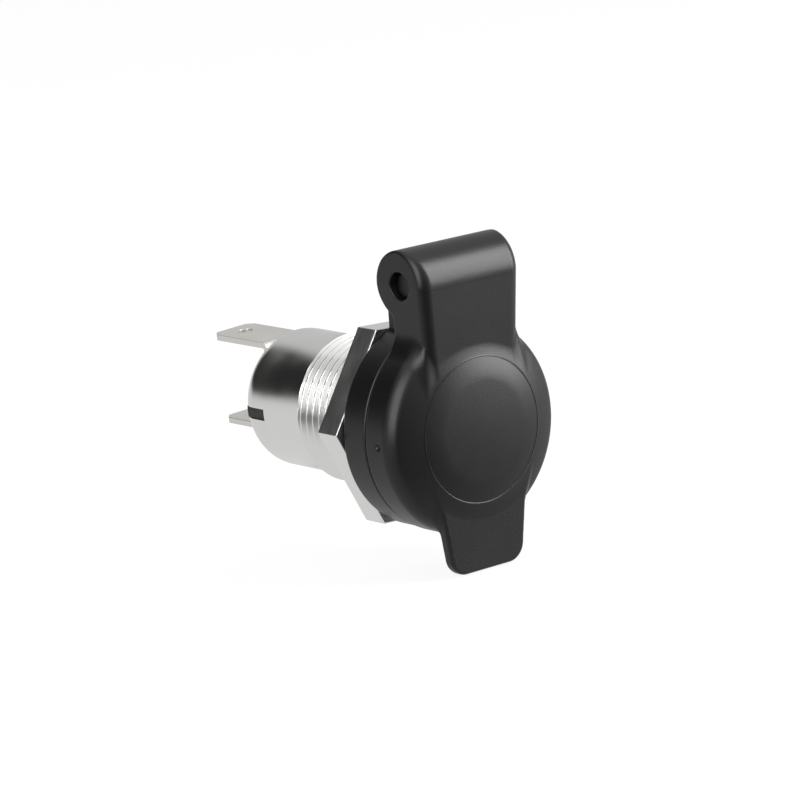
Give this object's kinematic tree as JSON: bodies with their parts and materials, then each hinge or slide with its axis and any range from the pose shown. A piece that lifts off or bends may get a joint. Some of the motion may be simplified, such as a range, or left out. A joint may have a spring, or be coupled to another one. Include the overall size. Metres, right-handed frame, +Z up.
{
  "type": "car 12v power socket",
  "caption": "Round panel-mounted 12 volt power socket: a threaded metal body with a hex nut and rear blade terminals, and a black bracket with a spring-closed hinged lid over the plug bore.",
  "frame": {"origin": "on the socket's axis in the panel plane, where the back of the bracket's ring meets the front of the nut", "axes": "+Y along the socket's axis, from the lid towards the terminals; +Z up, towards the lid's hinge; +X to the right seen from the front"},
  "size_m": [0.028, 0.0492, 0.0405],
  "materials": {
    "nickel_plate": "satin nickel plate",
    "nut_metal": "bright machined",
    "black_plastic": "black, satin moulded",
    "pin_steel": "dark oiled steel",
    "spring_steel": "drawn wire",
    "seal_rubber": "matt black",
    "phenolic": "black phenolic",
    "contact_brass": "bright",
    "fibre": "vulcanised fibre",
    "tin_plate": "tinned"
  },
  "bodies": {
    "socket": {"shell": "nickel_plate", "hex_nut": "nut_metal", "bracket": "black_plastic", "hinge_pin": "pin_steel", "torsion_spring": "spring_steel", "insulator": "phenolic", "centre_contact": "contact_brass", "contact_rivet": "contact_brass", "fibre_plate": "fibre", "live_terminal": "tin_plate", "earth_terminal": "tin_plate", "earth_rivet": "contact_brass"},
    "lid": {"lid": "black_plastic", "lid_seal": "seal_rubber"}
  },
  "joints": [
    {"name": "lid_hinge", "type": "hinge", "parent": "socket", "child": "lid", "pos_m": [0, -0.00665, 0.01865], "axis": [-1, 0, 0], "range_deg": [0, 100], "stiffness_Nm_per_rad": 0.006, "springref_deg": -40.11, "deforming": ["torsion_spring"]}
  ]
}
